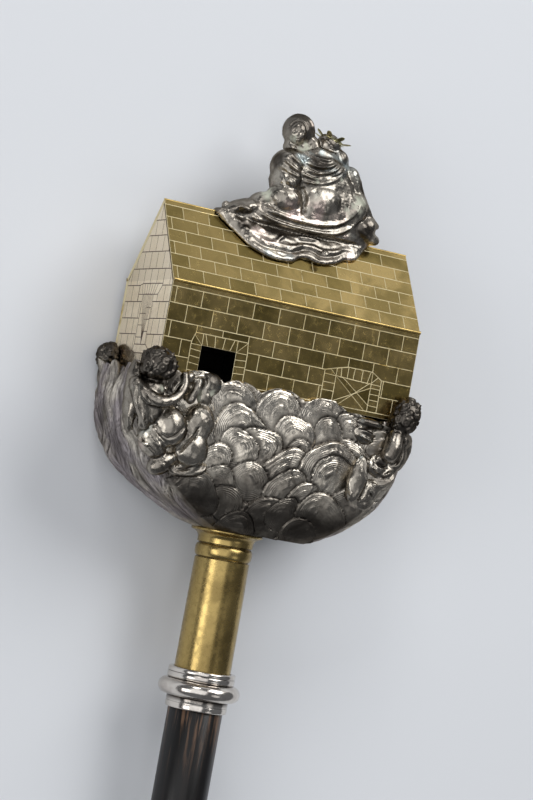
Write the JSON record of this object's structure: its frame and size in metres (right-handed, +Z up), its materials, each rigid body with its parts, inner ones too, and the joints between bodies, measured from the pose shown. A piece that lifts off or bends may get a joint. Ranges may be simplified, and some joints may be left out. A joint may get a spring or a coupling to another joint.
{
  "type": "processional staff",
  "caption": "Processional staff lying on its back: a brass house in a silver cloud basin with angels, a seated figure on its ridge, on a black wooden pole.",
  "frame": {"origin": "on the floor under the middle of the whole staff's box", "axes": "+X runs along the staff from its butt to its head, +Y to the left of the head seen from its front, +Z up from the floor, out of the head's front"},
  "size_m": [1.2004, 0.1522, 0.0777],
  "materials": {
    "tarnished_silver": "chased and repousse, glossy, dark brown and blue-grey tarnish in the hollows",
    "polished_silver": "turned and polished, slightly warm",
    "gilt_brass": "polished sheet with engraved masonry, olive smudges",
    "ebonised_wood": "black polish, brown where worn"
  },
  "bodies": {
    "root": {"pole": "ebonised_wood", "butt_ferrule": "gilt_brass", "ring_collar": "polished_silver", "socket_tube": "gilt_brass", "cloud_bowl": "tarnished_silver", "house_shell": "gilt_brass", "gable_left": "gilt_brass", "gable_right": "gilt_brass", "seated_figure": "tarnished_silver", "crown": "gilt_brass", "hem_rivet": "tarnished_silver"}
  },
  "joints": []
}
